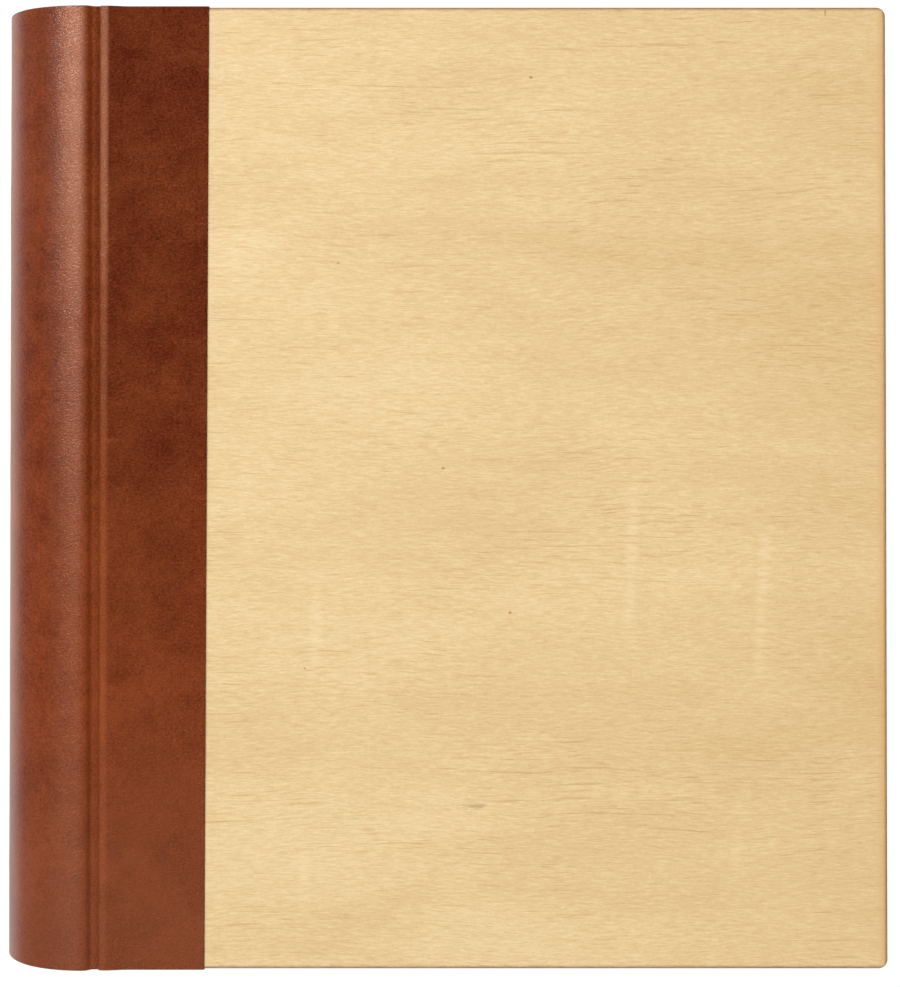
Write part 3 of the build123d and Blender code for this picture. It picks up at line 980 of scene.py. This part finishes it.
# ---- Endbands: silk wound round a core, on a ribbon glued to the spine ----
bead_radius = 1.3
bead_sink = 0.3  # how far the bead is worked into its ribbon
band_half_chord = 20.0
ribbon_inner = block_curve + 0.02
ribbon_outer = block_curve + 0.4
WRAPS = 92  # turns of silk
STEPS_PER_WRAP = 6
BEAD_SPOKES = 16
RIBBON_STEPS = 60


def round_spine(away, y, angle):
    """A place at a distance from the centre of the block's rounded spine, at an angle about it."""
    return (fold_centre_x - away * math.cos(angle), y, middle_z + away * math.sin(angle))


def endband_piece(name, at_tail):
    """A wound bead on the paper's edge and the ribbon under it, down the text block's spine."""
    low, high = box_mm(name)
    sign = -1 if at_tail else 1
    ribbon_end, bead_end = sorted((abs(low.y), abs(high.y)))
    bead_y = bead_end - bead_radius
    bead_curve = block_curve - bead_radius + bead_sink
    half_angle = math.asin(band_half_chord / block_curve)
    bead_loops = []
    steps = WRAPS * STEPS_PER_WRAP
    for step in range(steps + 1):
        share = step / steps
        angle = -half_angle + 2 * half_angle * share
        bulge = bead_radius * (0.9 + 0.1 * abs(math.sin(math.pi * share * WRAPS)))
        loop = []
        for spoke in range(BEAD_SPOKES):
            turn = 2 * math.pi * spoke / BEAD_SPOKES
            away = bead_curve + bulge * math.cos(turn)
            loop.append(round_spine(away, sign * (bead_y + bulge * math.sin(turn)), angle))
        bead_loops.append(loop)
    ribbon_loops = []
    ribbon_corners = (
        (ribbon_inner, sign * ribbon_end),
        (ribbon_outer, sign * ribbon_end),
        (ribbon_outer, sign * bead_y),
        (ribbon_inner, sign * bead_y),
    )
    for angle in spread(-half_angle, half_angle, RIBBON_STEPS):
        ribbon_loops.append([round_spine(away, y, angle) for away, y in ribbon_corners])
    points, faces = [], []
    for loops in (bead_loops, ribbon_loops):
        base = len(points)
        made_points, made_faces = loft(loops)
        points += made_points
        faces += [tuple(base + index for index in face) for face in made_faces]
        faces.append(tuple(range(base, base + len(loops[0]))))
        faces.append(tuple(range(len(points) - len(loops[0]), len(points))))
    return make_piece(name + "_silk", points, faces, [ENDBAND])


for name, at_tail in (("headband", False), ("tailband", True)):
    band = endband_piece(name, at_tail)
    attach(band, "text_block")
    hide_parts(name)


# ---- CAD nodes that keep their shape ----
def paint(node, material):
    """Give a carried-over CAD node its material."""
    data = frame["nodes"][node].data
    data.materials.clear()
    data.materials.append(material)


paint("spine_stiffener", card_material())
paint("spine_lining", paper_material("kraft_paper", (0.42, 0.27, 0.145), on_cad=True))
gauze = cloth_material("mull_gauze", (0.74, 0.70, 0.60), pitch=1.2)
paint("spine_mull", gauze)
for node, board in (("front_mull_wing", "front_board"), ("rear_mull_wing", "rear_board")):
    paint(node, gauze)
    low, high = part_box(node)
paint("sewing_tapes", cloth_material("linen_tape", (0.62, 0.55, 0.42), pitch=0.7))
paint("sewing_thread", cloth_material("linen_thread", (0.78, 0.73, 0.62), pitch=0.4))


# ---- Stage, light and camera ----
def stage():
    """A pale floor just under the book, which glows faintly so that it stays white."""
    mesh = bpy.data.meshes.new("floor")
    reach = 6.0
    gap = 0.0004
    mesh.from_pydata(
        [(-reach, -reach, 0), (reach, -reach, 0), (reach, reach, 0), (-reach, reach, 0)],
        [],
        [(0, 1, 2, 3)],
    )
    floor = bpy.data.objects.new("floor", mesh)
    bpy.context.scene.collection.objects.link(floor)
    t = Tree("pale_floor", on_cad=True)
    tone = t.noise(t.place, 0.002, 2.0)
    color = t.mix(tone, (0.10, 0.10, 0.10), (0.11, 0.11, 0.11))
    t.finish(color, 1.0, Specular_IOR_Level=0.0)
    t.shader.inputs["Emission Color"].default_value = (1.0, 1.0, 1.0, 1.0)
    t.shader.inputs["Emission Strength"].default_value = 0.96
    mesh.materials.append(t.material)
    floor.location.z = -gap


def world():
    """White low down, fading to near black overhead, and left out of reflections."""
    studio = bpy.data.worlds.new("studio")
    studio.use_nodes = True
    bpy.context.scene.world = studio
    nodes, links = studio.node_tree.nodes, studio.node_tree.links
    background = nodes["Background"]
    place = nodes.new("ShaderNodeTexCoord")
    split = nodes.new("ShaderNodeSeparateXYZ")
    fade = nodes.new("ShaderNodeMapRange")
    links.new(place.outputs["Generated"], split.inputs[0])
    links.new(split.outputs["Z"], fade.inputs["Value"])
    fade.inputs["From Min"].default_value = 0.12
    fade.inputs["From Max"].default_value = 0.34
    fade.inputs["To Min"].default_value = 1.0
    fade.inputs["To Max"].default_value = 0.03
    background.inputs["Color"].default_value = (1.0, 1.0, 1.0, 1.0)
    links.new(fade.outputs["Result"], background.inputs["Strength"])
    studio.cycles_visibility.glossy = False


def softbox(name, place, target, size, power, glossy=True):
    """A rectangular light aimed at a target; without glossy it isn't seen in reflections."""
    data = bpy.data.lights.new(name, "AREA")
    data.shape = "RECTANGLE"
    data.size, data.size_y = size
    data.energy = power
    light = bpy.data.objects.new(name, data)
    bpy.context.scene.collection.objects.link(light)
    light.location = place
    aim = Vector(target) - Vector(place)
    light.rotation_mode = "QUATERNION"
    light.rotation_quaternion = aim.to_track_quat("-Z", "Y")
    light.visible_glossy = glossy


def camera():
    """Almost square above the cover, a little towards the head, its frame shifted over the book."""
    frame_height = 0.3291  # what the picture's long side takes in at the front cover
    distance = 0.735  # from the front cover
    x, y = 0.0031, 0.0323
    picture_centre_y = -0.0023
    tilt = math.radians(0.79)
    up = (picture_centre_y - y) * math.cos(tilt) - distance * math.sin(tilt)
    ahead = (picture_centre_y - y) * math.sin(tilt) + distance * math.cos(tilt)
    data = bpy.data.cameras.new("camera")
    data.sensor_width = 36.0
    data.lens = data.sensor_width * distance / frame_height
    data.shift_y = up / ahead * distance / frame_height
    data.clip_start, data.clip_end = 0.01, 20.0
    made = bpy.data.objects.new("camera", data)
    bpy.context.scene.collection.objects.link(made)
    made.location = (x, y, board_high.z * MM + distance)
    made.rotation_euler = (tilt, 0.0, 0.0)
    bpy.context.scene.camera = made


stage()
world()
softbox("key", (-0.52, 0.56, 1.05), (-0.12, 0.05, 0.05), (0.28, 0.62), 10.2)
softbox("side", (-0.95, 0.35, 1.0), (0.0, 0.0, 0.03), (0.7, 0.9), 6.0, glossy=False)
softbox("fill", (1.10, 0.05, 0.95), (0.0, 0.0, 0.03), (0.8, 1.0), 8.8, glossy=False)
softbox("foot", (-0.35, -1.05, 0.9), (0.0, 0.0, 0.03), (0.9, 0.6), 9.7, glossy=False)
camera()
bpy.context.scene.view_settings.view_transform = "Standard"
